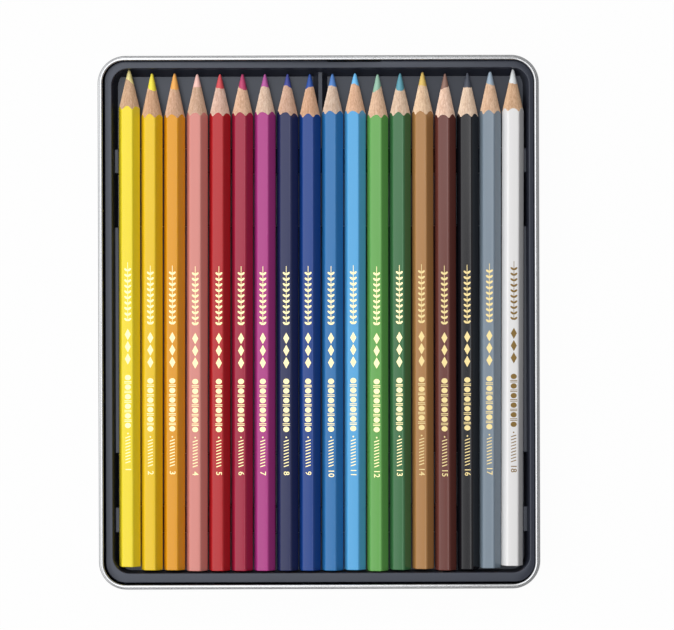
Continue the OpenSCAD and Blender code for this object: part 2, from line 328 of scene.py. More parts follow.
# One row for each pencil, from left to right, under the names that its settings have. Colours are on the
# scale of a screen, lengths in millimetres and angles in degrees.
COLOUR_FIELDS = ("lacquer", "core", "cedar")
ANGLE_FIELDS = ("point_angle", "extra_roll")
Row = namedtuple(
    "Row",
    "lacquer core cedar foil core_length core_slant point_radius point_angle cone_lean extra_roll "
    "stamp_side front_drift back_drift",
)
PENCIL_ROWS = (
    Row((240, 217, 42), (250, 234, 158), (230, 197, 164), "pale",
        3.8, 2.3, 0.45, 13.5, -0.1, 0, 0.25, 0.11, -0.06),
    Row((231, 192, 24), (252, 234, 68), (231, 193, 158), "pale",
        6.0, 1.1, 0.4, 12.2, 0, 0.5, 0.25, 0.15, -0.17),
    Row((220, 150, 17), (246, 176, 86), (231, 195, 166), "pale",
        5.7, 0.4, 0.4, 12.1, 0, -0.5, 0.1, 0.18, -0.2),
    Row((211, 134, 125), (251, 200, 189), (228, 196, 171), "pale",
        4.5, 0, 0.45, 12.7, 0, 0.3, 0.15, 0.22, -0.2),
    Row((179, 27, 34), (217, 78, 85), (238, 208, 192), "pale",
        5.0, 0.5, 0.4, 12.8, 0, 0, 0.5, 0.28, -0.17),
    Row((159, 26, 59), (193, 65, 112), (237, 203, 175), "pale",
        5.4, 1.2, 0.4, 12.9, 0, 0.4, 0.35, 0.28, -0.17),
    Row((170, 54, 130), (187, 89, 162), (237, 215, 196), "pale",
        4.4, 0.5, 0.35, 13.3, 0, -0.3, 0.1, 0.28, -0.15),
    Row((32, 39, 83), (65, 74, 155), (227, 194, 172), "pale",
        4.2, 1.3, 0.35, 13.1, 0.9, 0, 0.3, 0.31, -0.03),
    Row((24, 63, 136), (41, 81, 164), (231, 193, 162), "pale",
        4.6, -0.75, 0.35, 12.6, 0, 0.3, 0.1, 0.25, -0.1),
    Row((42, 113, 173), (82, 133, 204), (231, 212, 195), "pale",
        4.2, 0.6, 0.4, 13.3, 0, 0, 0.2, 0.28, -0.06),
    Row((82, 164, 217), (115, 197, 252), (238, 203, 173), "pale",
        3.8, 1.0, 0.45, 13.0, 0, -0.4, 0.1, 0.31, -0.06),
    Row((100, 165, 81), (152, 194, 171), (240, 211, 183), "pale",
        5.6, -2.3, 0.4, 12.3, 0, 0.6, 0.3, 0.31, -0.03),
    Row((59, 111, 69), (94, 160, 177), (238, 217, 195), "pale",
        6.3, 0, 0.35, 12.8, 0, 0.4, 0.35, 0.31, 0.01),
    # From here on the foil is darker: painted shade where it turns away from the softbox
    Row((168, 121, 70), (227, 192, 101), (244, 220, 190), "deep",
        4.7, 0.4, 0.4, 12.7, 0, 0, 0.2, 0.31, 0.08),
    Row((104, 55, 48), (147, 111, 98), (250, 225, 206), "deep",
        5.0, -1.1, 0.35, 12.3, 0, 0.5, 0.25, 0.31, 0.14),
    Row((20, 20, 25), (72, 77, 90), (241, 222, 201), "deep",
        5.2, 0, 0.35, 12.3, 0, 0.8, 0.3, 0.31, 0.15),
    Row((120, 134, 147), (157, 175, 191), (235, 206, 177), "deep",
        4.6, 0.95, 0.5, 12.3, 0, 0.6, 0.3, 0.31, -0.1),
    Row((228, 227, 227), (222, 225, 226), (227, 195, 161), "antique",
        5.1, 0.5, 0.4, 12.7, 0, 12.5, 0.3, 0.36, -0.28),
)

# --------------------------------------------------------------------------------------------------
# Node trees
# --------------------------------------------------------------------------------------------------


class Field:
    """A value socket of a node tree. Arithmetic on it adds Math nodes."""

    def __init__(self, maker, socket):
        self.maker = maker
        self.socket = socket

    def math(self, operation, *values):
        """The result of one Math node on this value and others."""
        inputs = dict(enumerate((self, *values)))
        return self.maker.field("ShaderNodeMath", {"operation": operation}, inputs)

    def __add__(self, other):
        return self.math("ADD", other)

    def __radd__(self, other):
        return self.math("ADD", other)

    def __sub__(self, other):
        return self.math("SUBTRACT", other)

    def __rsub__(self, other):
        return self.maker.field("ShaderNodeMath", {"operation": "SUBTRACT"}, {0: other, 1: self})

    def __mul__(self, other):
        return self.math("MULTIPLY", other)

    def __rmul__(self, other):
        return self.math("MULTIPLY", other)


class Maker:
    """Builds one node tree, for a finish or for a form that follows a rule."""

    def __init__(self, tree):
        self.tree = tree
        tree.nodes.clear()

    def node(self, kind, settings=None, inputs=None):
        """Adds a node. Its settings are set first, then each named socket gets its value or its link."""
        added = self.tree.nodes.new(kind)
        for key, value in (settings or {}).items():
            if key == "stops":
                self.set_stops(added.color_ramp, value)
            else:
                setattr(added, key, value)
        for key, value in (inputs or {}).items():
            if isinstance(value, Field):
                self.tree.links.new(value.socket, added.inputs[key])
            elif isinstance(value, bpy.types.NodeSocket):
                self.tree.links.new(value, added.inputs[key])
            else:
                added.inputs[key].default_value = value
        return added

    def set_stops(self, ramp, stops):
        """Gives a colour ramp its stops, each a place and a grey level."""
        while len(ramp.elements) < len(stops):
            ramp.elements.new(1)
        for element, (place, level) in zip(ramp.elements, stops):
            element.position = place
            element.color = (level, level, level, 1)

    def field(self, kind, settings=None, inputs=None, output=0):
        """Adds a node and returns one of its outputs, ready for arithmetic."""
        return Field(self, self.node(kind, settings, inputs).outputs[output])

    def place(self, stretch):
        """The place on the piece in metres, stretched along its axes."""
        coordinates = self.field("ShaderNodeTexCoord", output="Object")
        inputs = {"Vector": coordinates, "Scale": stretch}
        return self.field("ShaderNodeMapping", {"vector_type": "POINT"}, inputs)

    def noise(self, grain, stretch=(1, 1, 1), detail=2.0, roughness=0.5):
        """Noise whose grains are about that many millimetres wide, from 0 to 1."""
        inputs = {
            "Vector": self.place(stretch),
            "Scale": 1 / (grain * MM),
            "Detail": detail,
            "Roughness": roughness,
        }
        return self.field("ShaderNodeTexNoise", {"noise_dimensions": "3D"}, inputs, output="Fac")

    def ramp(self, value, stops):
        """The value sent through a ramp of grey levels."""
        return self.field("ShaderNodeValToRGB", {"stops": stops}, {"Fac": value}, output="Color")

    def mix(self, factor, first, second, blend="MIX"):
        """Two colours mixed."""
        first, second = (c if isinstance(c, Field) else (*c, 1) for c in (first, second))
        settings = {"data_type": "RGBA", "blend_type": blend}
        return self.field("ShaderNodeMix", settings, {0: factor, 6: first, 7: second}, output=2)

    def mottled(self, base, mask, share, darkest):
        """The base colour with patches where up to that share of it sinks to its darkest level."""
        return self.mix(mask * share, base, tuple(c * darkest for c in base))

    def bump(self, height, depth):
        """Relief from a height of 0 to 1 that is that many millimetres deep."""
        inputs = {"Height": height, "Distance": depth * MM, "Strength": 1.0}
        return self.field("ShaderNodeBump", None, inputs, output="Normal")

    def rays(self):
        """Whether a camera, a reflection or something clear looks, each as 1 or 0."""
        path = self.node("ShaderNodeLightPath")
        kinds = ("Is Camera Ray", "Is Glossy Ray", "Is Transmission Ray")
        return [Field(self, path.outputs[kind]) for kind in kinds]

    def principled(self, inputs):
        """A Principled surface with those values and links."""
        return self.node("ShaderNodeBsdfPrincipled", None, inputs).outputs[0]


def finish(recipe):
    """Turns a recipe for a surface into a function that makes a material of that name and those colours."""

    @wraps(recipe)
    def material_of(name, *colours):
        material = bpy.data.materials.new(name)
        material.use_nodes = True
        maker = Maker(material.node_tree)
        maker.node("ShaderNodeOutputMaterial", None, {"Surface": recipe(maker, *colours)})
        return material

    return material_of


# --------------------------------------------------------------------------------------------------
# Finishes
# --------------------------------------------------------------------------------------------------


@finish
def tinplate(maker, base):
    """Bright tinplate: fine rolling lines along the sheet, faint handling marks and a cloudy tin coat."""
    rolling = maker.noise(0.25, (1, 0.02, 1), detail=3)
    cloud = maker.noise(14, detail=3)
    smudges = maker.ramp(maker.noise(9, (1, 0.6, 1), detail=4, roughness=0.6), [(0.5, 0), (0.75, 1)])
    return maker.principled(
        {
            "Base Color": maker.mottled(base, cloud, share=0.5, darkest=0.9),
            "Metallic": 1.0,
            "Roughness": 0.2 + rolling * 0.04 + smudges * 0.05,
            "Normal": maker.bump(rolling, 0.0012),
        }
    )


@finish
def moulded_plastic(maker, base):
    """Satin moulded plastic with a cool sheen, spark-eroded grain and slightly darker, duller patches."""
    grain = maker.noise(0.22, detail=2)
    rubbed = maker.noise(11, detail=3)
    return maker.principled(
        {
            "Base Color": maker.mottled(base, rubbed, share=0.35, darkest=0.82),
            "Roughness": 0.24 + rubbed * 0.08 + grain * 0.04,
            "IOR": 1.65,
            "Specular Tint": (0.78, 0.83, 0.93, 1),
            "Normal": maker.bump(grain, 0.004),
        }
    )


@finish
def gloss_lacquer(maker, base):
    """Dipped pencil lacquer: gloss with faint orange peel, runs along the barrel and a few dull specks."""
    peel = maker.noise(0.9, (1, 0.55, 1), detail=1)
    runs = maker.noise(1.6, (1, 0.03, 1), detail=2)
    specks = maker.ramp(maker.noise(0.5, detail=2), [(0.0, 0), (0.74, 0), (0.8, 1)])
    return maker.principled(
        {
            "Base Color": maker.mottled(base, runs, share=0.3, darkest=0.86),
            "Roughness": 0.13 + runs * 0.06 + specks * 0.1,
            "IOR": 1.5,
            "Normal": maker.bump(peel, 0.004),
        }
    )


@finish
def cedar(maker):
    """Sharpened cedar: streaks, fibres and pores along the grain, and faint marks left by the blade."""
    wood = maker.field("ShaderNodeAttribute", {"attribute_name": "cedar_colour"}, output="Color")
    streaks = maker.ramp(
        maker.noise(0.5, (1, 0.07, 1), detail=3, roughness=0.6), [(0.36, 0), (0.64, 1)]
    )
    fibres = maker.ramp(
        maker.noise(0.36, (1, 0.35, 1), detail=3, roughness=0.7), [(0.38, 0), (0.62, 1)]
    )
    pores = maker.ramp(maker.noise(0.24, (1, 0.09, 1), detail=2), [(0.3, 1), (0.42, 0)])
    cuts = maker.noise(0.3, (0.15, 1, 0.15), detail=2)
    streaked = maker.mix(streaks * 0.6, wood, (0.74, 0.62, 0.52), blend="MULTIPLY")
    fibrous = maker.mix(fibres * 0.6, streaked, (0.74, 0.66, 0.6), blend="MULTIPLY")
    pored = maker.mix(pores * 0.4, fibrous, (0.55, 0.42, 0.34), blend="MULTIPLY")
    return maker.principled(
        {
            "Base Color": pored,
            "Diffuse Roughness": 1.0,
            "Roughness": 0.62 + streaks * 0.2,
            "Normal": maker.bump(streaks * 0.6 + fibres * 0.6 - pores * 0.5 + cuts * 0.3, 0.02),
        }
    )


@finish
def waxy_core(maker, base):
    """Wax and pigment core: a soft sheen, fine mottling and turning marks round the point."""
    mottle = maker.noise(0.35, detail=3)
    turning = maker.noise(0.18, (0.1, 1, 0.1), detail=2)
    return maker.principled(
        {
            "Base Color": maker.mottled(base, mottle, share=0.35, darkest=0.84),
            "Roughness": 0.42 + mottle * 0.16,
            "Normal": maker.bump(turning + mottle * 0.5, 0.012),
        }
    )


@finish
def stamped_foil(maker, base):
    """Hot-stamped metal foil: bright, with the lacquer's unevenness and worn thin in a few specks."""
    uneven = maker.noise(0.7, detail=2)
    worn = maker.ramp(maker.noise(0.3, detail=3), [(0.0, 0), (0.62, 0), (0.75, 1)])
    return maker.principled(
        {
            "Base Color": maker.mottled(base, worn, share=0.5, darkest=0.6),
            "Metallic": 1.0,
            "Roughness": 0.26 + uneven * 0.1 + worn * 0.12,
            "Normal": maker.bump(uneven, 0.006),
        }
    )


@finish
def studio_floor(maker, base):
    """Pale floor that the camera sees as nearly white, with the object's shadow kept faint."""
    camera, glossy, transmission = maker.rays()
    mottle = maker.noise(40, detail=2)
    tone = maker.mottled(base, mottle, share=0.2, darkest=0.96)
    lit = maker.node("ShaderNodeBsdfDiffuse", None, {"Color": tone})
    white = maker.node("ShaderNodeEmission", None, {"Strength": 1.0})
    share = camera * 0.97 + glossy * 0.2 + transmission * 0.2
    inputs = {"Fac": share, 1: lit.outputs[0], 2: white.outputs[0]}
    return maker.node("ShaderNodeMixShader", None, inputs).outputs[0]


# --------------------------------------------------------------------------------------------------
# Shapes
# --------------------------------------------------------------------------------------------------


@contextmanager
def edited(mesh):
    """The mesh opened as a bmesh, and written back at the end."""
    work = bmesh.new()
    work.from_mesh(mesh)
    yield work
    work.to_mesh(mesh)
    work.free()


def merge_doubles(work):
    """Merges points that lie in one place."""
    bmesh.ops.remove_doubles(work, verts=work.verts, dist=MERGE_DISTANCE)


def face_outwards(work):
    """Turns the faces of closed shells outwards."""
    bmesh.ops.recalc_face_normals(work, faces=work.faces)


def mesh_from(name, points, faces):
    """A mesh from its points and faces, with doubled points merged and faces turned outwards."""
    mesh = bpy.data.meshes.new(name)
    mesh.from_pydata(points, [], faces)
    with edited(mesh) as work:
        merge_doubles(work)
        bmesh.ops.dissolve_degenerate(work, edges=work.edges, dist=MERGE_DISTANCE / 10)
        face_outwards(work)
    return mesh


def piece(name, mesh, materials, body, replaces=None):
    """A finished piece of the object: smooth between sharp edges, with its materials and body, hiding the
    part it replaces.
    """
    for material in materials:
        mesh.materials.append(material)
    for polygon in mesh.polygons:
        polygon.use_smooth = True
    mesh.set_sharp_from_angle(angle=SHARP_ANGLE)
    made = bpy.data.objects.new(name, mesh)
    bpy.context.scene.collection.objects.link(made)
    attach(made, body)
    if replaces:
        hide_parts(replaces)


def foot(low, high):
    """The middle of the underside of a box."""
    return Vector(((low.x + high.x) / 2, (low.y + high.y) / 2, low.z))


def grid_faces(rings, columns, close_rings=False):
    """Faces between rings of points, each ring closed, and the last joined to the first if wanted."""
    last = rings if close_rings else rings - 1
    return [
        (
            ring * columns + column,
            ring * columns + (column + 1) % columns,
            (ring + 1) % rings * columns + (column + 1) % columns,
            (ring + 1) % rings * columns + column,
        )
        for ring in range(last)
        for column in range(columns)
    ]


def arc(centre, radius, start, end, steps, outward=1):
    """Points along an arc in a profile, each with the way to the outer side there. Angles are degrees."""
    angles = [math.radians(start + (end - start) * step / steps) for step in range(steps + 1)]
    return [
        (
            centre[0] + radius * math.cos(a),
            centre[1] + radius * math.sin(a),
            outward * math.cos(a),
            outward * math.sin(a),
        )
        for a in angles
    ]


def even_turns(steps):
    """The angles of that many even steps round a circle."""
    return [2 * math.pi * step / steps for step in range(steps)]


def places_of(profile):
    """A profile's places alone, without the directions of its outer side."""
    return [(x, z) for x, z, _, _ in profile]


def inner_side(points, thickness):
    """The other side of a sheet whose outer side has those points, from its end back to its start."""
    return [(x - thickness * nx, y - thickness * ny) for x, y, nx, ny in reversed(points)]


def plain_result(holder):
    """The holder's evaluated shape as a plain mesh. The holder and its data go."""
    depsgraph = bpy.context.evaluated_depsgraph_get()
    mesh = bpy.data.meshes.new_from_object(holder.evaluated_get(depsgraph))
    source = holder.data
    holder.modifiers.clear()
    bpy.data.batch_remove([holder, source])
    return mesh


def evaluated(mesh, tree, values):
    """The mesh that a tree of Geometry Nodes makes of this one, with its inputs set by name."""
    holder = bpy.data.objects.new(tree.name, mesh)
    bpy.context.scene.collection.objects.link(holder)
    modifier = holder.modifiers.new(tree.name, "NODES")
    modifier.node_group = tree
    for item in tree.interface.items_tree:
        if item.in_out == "INPUT" and item.name in values:
            modifier[item.identifier] = values[item.name]
    return plain_result(holder)


def geometry_tree(name, inputs):
    """A new tree of Geometry Nodes with those named inputs, its Maker and its group input's sockets."""
    tree = bpy.data.node_groups.new(name, "GeometryNodeTree")
    tree.is_modifier = True
    tree.interface.new_socket("Geometry", in_out="INPUT", socket_type="NodeSocketGeometry")
    for label, kind in inputs.items():
        tree.interface.new_socket(label, in_out="INPUT", socket_type=kind)
    tree.interface.new_socket("Geometry", in_out="OUTPUT", socket_type="NodeSocketGeometry")
    maker = Maker(tree)
    return tree, maker, maker.node("NodeGroupInput").outputs


def finish_tree(maker, geometry, material):
    """Ends a tree of Geometry Nodes with real geometry and its material."""
    realized = maker.node("GeometryNodeRealizeInstances", None, {"Geometry": geometry})
    inputs = {"Geometry": realized.outputs[0], "Material": material}
    painted = maker.node("GeometryNodeSetMaterial", None, inputs)
    maker.node("NodeGroupOutput", None, {"Geometry": painted.outputs[0]})


def rim_sweep_tree():
    """Sweeps the profile that it is given round a rectangle with round corners."""
    tree, maker, given = geometry_tree(
        "Rim sweep",
        {
            "Width": "NodeSocketFloat",
            "Length": "NodeSocketFloat",
            "Corner Radius": "NodeSocketFloat",
            "Corner Steps": "NodeSocketInt",
            "Material": "NodeSocketMaterial",
        },
    )
    outline = maker.node(
        "GeometryNodeCurvePrimitiveQuadrilateral",
        {"mode": "RECTANGLE"},
        {"Width": given["Width"], "Height": given["Length"]},
    )
    rounded = maker.node(
        "GeometryNodeFilletCurve",
        {"mode": "POLY"},
        {"Curve": outline.outputs[0], "Radius": given["Corner Radius"], "Count": given["Corner Steps"]},
    )
    upright = maker.node("GeometryNodeSetCurveNormal", {"mode": "Z_UP"}, {"Curve": rounded.outputs[0]})
    profile = maker.node("GeometryNodeMeshToCurve", None, {"Mesh": given["Geometry"]})
    swept = maker.node(
        "GeometryNodeCurveToMesh", None, {"Curve": upright.outputs[0], "Profile Curve": profile.outputs[0]}
    )
    finish_tree(maker, swept.outputs[0], given["Material"])
    return tree


def stamp_row_tree():
    """Repeats the mark that it is given along a straight row."""
    tree, maker, given = geometry_tree(
        "Stamp row",
        {
            "Count": "NodeSocketInt",
            "Start": "NodeSocketVector",
            "Step": "NodeSocketVector",
            "Material": "NodeSocketMaterial",
        },
    )
    row = maker.node(
        "GeometryNodeMeshLine",
        {"mode": "OFFSET"},
        {"Count": given["Count"], "Start Location": given["Start"], "Offset": given["Step"]},
    )
    marks = maker.node(
        "GeometryNodeInstanceOnPoints", None, {"Points": row.outputs[0], "Instance": given["Geometry"]}
    )
    finish_tree(maker, marks.outputs[0], given["Material"])
    return tree


def swept_shell(name, profile, box, wall_inset, corner, material):
    """A sheet-metal shell: its wall's profile swept round a rounded rectangle, and its floor filled in.

    The rectangle lies inside the box by the wall's inset. The profile's first number points outwards from
    the rectangle, and its second up from the underside of the box.
    """
    low, high = box
    line = bpy.data.meshes.new(name)
    line.from_pydata([(x, -z, 0) for x, z in profile], [(i, i + 1) for i in range(len(profile) - 1)], [])
    values = {
        "Width": high.x - low.x - 2 * wall_inset,
        "Length": high.y - low.y - 2 * wall_inset,
        "Corner Radius": corner,
        "Corner Steps": 15,
        "Material": material,
    }
    tree = bpy.data.node_groups.get("Rim sweep") or rim_sweep_tree()
    mesh = evaluated(line, tree, values)
    mesh.name = name
    with edited(mesh) as work:
        merge_doubles(work)
        bmesh.ops.holes_fill(work, edges=[edge for edge in work.edges if edge.is_boundary], sides=0)
        face_outwards(work)
        bmesh.ops.translate(work, verts=work.verts, vec=foot(low, high))
    mesh.materials.clear()
    return mesh


# --------------------------------------------------------------------------------------------------
# Tin and lid
# --------------------------------------------------------------------------------------------------


def flattened(share):
    """A circle's coordinate, from -1 to 1, pushed out so that the circle gets flatter sides."""
    flatness = 0.78
    return math.copysign(abs(share) ** flatness, share)


def tin_profile(sizes, height):
    """Half of the tin's section: floor, bend, stop bead, wall and rolled hem, out and back again."""
    bead = height - sizes.bead_drop
    crown = sizes.bead_crown
    fillet = sizes.bead_fillet
    crown_x = sizes.bead_out - crown
    rise = math.sqrt((crown + fillet) ** 2 - (fillet - crown_x) ** 2)
    meet = math.degrees(math.atan2(rise, fillet - crown_x))
    bend = sizes.floor_bend
    hem = sizes.hem / 2
    outside = [(-bend - MM, 0, 0, -1)]
    outside += arc((-bend, bend), bend, -90, 0, steps=10)
    outside += arc((fillet, bead - rise), fillet, 180, 180 - meet, steps=5, outward=-1)
    outside += arc((crown_x, bead), crown, -meet, meet, steps=14)[1:-1]
    outside += arc((fillet, bead + rise), fillet, meet - 180, -180, steps=5, outward=-1)
    inside = inner_side(outside, sizes.sheet)
    meeting = math.degrees(math.acos(1 - 2 * sizes.sheet / sizes.hem_width))
    roll = [
        (sizes.hem_width / 2 * (flattened(dx) - 1), height - hem + hem * flattened(dz))
        for _, _, dx, dz in arc((0, 0), 1, 0, 360 - meeting, steps=28)
    ]
    return places_of(outside) + roll + inside


def lid_profile(sizes, height):
    """Half of the lid's section, upside down: raised panel, border, bend, skirt and folded edge."""
    step = sizes.panel_step
    bend = sizes.edge_bend
    slope = sizes.panel_slope
    ease = 0.25 * slope
    slope_start = -sizes.border - slope
    slope_middle = -sizes.border - slope / 2
    fold_z = height - sizes.fold_height
    lip = (sizes.sheet + sizes.fold_out) / 2
    tilt = math.atan2(step, slope)
    side = (math.sin(tilt), -math.cos(tilt))
    outside = [
        (slope_start - MM, 0, 0, -1),
        (slope_start - ease, 0, 0, -1),
        (slope_middle - slope * 0.3, step * 0.2, *side),
        (slope_middle + slope * 0.3, step * 0.8, *side),
        (-sizes.border + ease, step, 0, -1),
        (-bend - MM, step, 0, -1),
    ]
    outside += arc((-bend, step + bend), bend, -90, 0, steps=10)
    outside += [(0, fold_z - sizes.fold_out, 1, 0)]
    inside = inner_side(outside, sizes.sheet)
    fold = [(sizes.fold_out, fold_z, 1, 0)]
    fold += arc((sizes.fold_out - lip, height - lip), lip, 0, 180, steps=10)
    return places_of(outside + fold) + inside


class PENCILTIN_OT_tin(bpy.types.Operator):
    """Make the tin's sheet-metal shell"""

    bl_idname = "pencil_tin.make_tin"
    bl_label = "Make Tin"

    def execute(self, context):
        settings = context.scene.pencil_tin
        sizes = settings.tin
        low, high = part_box("tin_base")
        metal = tinplate("tinplate_of_tin", settings.finishes.tinplate)
        profile = tin_profile(sizes, high.z - low.z)
        mesh = swept_shell("tin_shell", profile, (low, high), sizes.bead_out, sizes.corner, metal)
        piece("tin_shell", mesh, [metal], "tin_base", replaces="tin_base")
        return {"FINISHED"}


class PENCILTIN_OT_lid(bpy.types.Operator):
    """Make the slip-on lid, stowed upside down under the tin"""

    bl_idname = "pencil_tin.make_lid"
    bl_label = "Make Lid"

    def execute(self, context):
        settings = context.scene.pencil_tin
        sizes = settings.lid
        low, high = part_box("lid")
        metal = tinplate("tinplate_of_lid", settings.finishes.tinplate)
        profile = lid_profile(sizes, high.z - low.z)
        mesh = swept_shell("lid_shell", profile, (low, high), sizes.fold_out, sizes.corner, metal)
        piece("lid_shell", mesh, [metal], "lid", replaces="lid")
        return {"FINISHED"}


# --------------------------------------------------------------------------------------------------
# Tray
# --------------------------------------------------------------------------------------------------


def pencil_nodes(number):
    """Names of a pencil's casing and core in the frame."""
    return f"pencil_{number:02d}_casing", f"pencil_{number:02d}_lead"


def pencil_axis(number):
    """Where a pencil's axis runs: its x, its z and the y of its flat end and of its point."""
    low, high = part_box(pencil_nodes(number)[1])
    return (low.x + high.x) / 2, (low.z + high.z) / 2, low.y, high.y


class TrayPlan:
    """Places in the tray, worked out from the frame and the tray's own sizes."""

    def __init__(self, sizes, pencil, how_many):
        low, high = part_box("tray")
        self.sizes = sizes
        self.low, self.high = low, high
        self.open_low = Vector((low.x + sizes.flange_left, low.y + sizes.flange_back))
        self.open_high = Vector((high.x - sizes.flange_right, high.y - sizes.flange_front))
        axes = [pencil_axis(number) for number in range(1, how_many + 1)]
        self.axes_x = [axis[0] for axis in axes]
        self.axis_z = axes[0][1]
        self.row_x = (self.axes_x[0] + self.axes_x[-1]) / 2
        _, _, flat_end, point = axes[how_many // 2]
        row_y = (flat_end + point) / 2
        edge_radius = pencil.flats / 2 / math.cos(HALF_SIDE_TURN) - pencil.edge_round * (
            1 / math.cos(HALF_SIDE_TURN) - 1
        )
        self.groove_radius = edge_radius + sizes.groove_gap
        self.land_z = self.axis_z - sizes.land_drop
        self.rib_z = self.axis_z - sizes.rib_drop
        self.floor_z = low.z + sizes.sheet
        self.cradles = (
            (row_y + sizes.back_cradle_y, sizes.back_cradle),
            (row_y + sizes.middle_cradle_y, sizes.middle_cradle),
            (row_y + sizes.front_cradle_y, sizes.front_cradle),
        )


def corner_centre(low, high, side_x, side_y, radius):
    """The middle of a rounded corner of the rectangle from low to high, on those sides of it."""
    return Vector(
        (
            high.x - radius if side_x > 0 else low.x + radius,
            high.y - radius if side_y > 0 else low.y + radius,
        )
    )


def outline_stations(plan, corner_steps):
    """Stations round the tray: a point on the opening, one on the flange's edge, and the way outwards."""
    sizes = plan.sizes
    quarter_turns = ((1, 1, 0), (-1, 1, 90), (-1, -1, 180), (1, -1, 270))
    notch = plan.row_x + sizes.notch_place
    half = sizes.notch_width / 2
    slope = 2 * sizes.notch_depth
    notch_stations = (
        (notch + half, 0),
        (notch + half - slope, sizes.notch_depth),
        (notch - half + slope, sizes.notch_depth),
        (notch - half, 0),
    )
    stations = []
    for side_x, side_y, start in quarter_turns:
        inner = corner_centre(plan.open_low, plan.open_high, side_x, side_y, sizes.corner)
        outer = corner_centre(plan.low, plan.high, side_x, side_y, sizes.flange_corner)
        for step in range(corner_steps + 1):
            turn = math.radians(start + 90 * step / corner_steps)
            out = Vector((math.cos(turn), math.sin(turn)))
            stations.append((inner + sizes.corner * out, outer + sizes.flange_corner * out, out))
        if start == 0:
            out = Vector((0, 1))
            for x, depth in notch_stations:
                stations.append((Vector((x, plan.open_high.y)), Vector((x, plan.high.y - depth)), out))
    return stations


def tray_rim(plan):
    """The tray's walls, flange and lip as one closed ring."""
    sizes = plan.sizes
    top, bottom = plan.high.z, plan.low.z
    depth = top - bottom
    sheet = sizes.sheet
    mouth = sizes.mouth_round
    lip_round = sizes.lip_round
    bevel = 0.15 * MM
    brace = 0.4 * MM
    edge_z = top - sizes.flange_fall
    lip_z = top - sizes.lip

    opening = [(0, bottom), (0, bottom + depth / 2)]
    opening += places_of(arc((mouth, top - mouth), mouth, 180, 90, steps=6))
    edge = places_of(arc((-lip_round, edge_z - lip_round), lip_round, 78, 0, steps=7))
    edge += [(0, lip_z + bevel), (-bevel, lip_z), (-sheet, lip_z), (-sheet, edge_z - lip_round)]
    under = [(sheet + brace, top - sheet - 0.1 * MM), (sheet, top - sheet - 0.7 * MM), (sheet, bottom)]
    profile = [("opening", *p) for p in opening]
    profile += [("edge", *p) for p in edge]
    profile += [("opening", *p) for p in under]
    stations = outline_stations(plan, corner_steps=12)
    points = []
    for outline, offset, z in profile:
        for inner, outer, out in stations:
            if outline == "opening":
                down = (top - z) / depth
                lean = Vector((sizes.side_lean * out.x, sizes.wall_lean * out.y))
                place = inner + offset * out - down * lean
            else:
                place = outer + offset * out
            points.append((place.x, place.y, z))
    return mesh_from("tray_rim", points, grid_faces(len(profile), len(stations), close_rings=True))


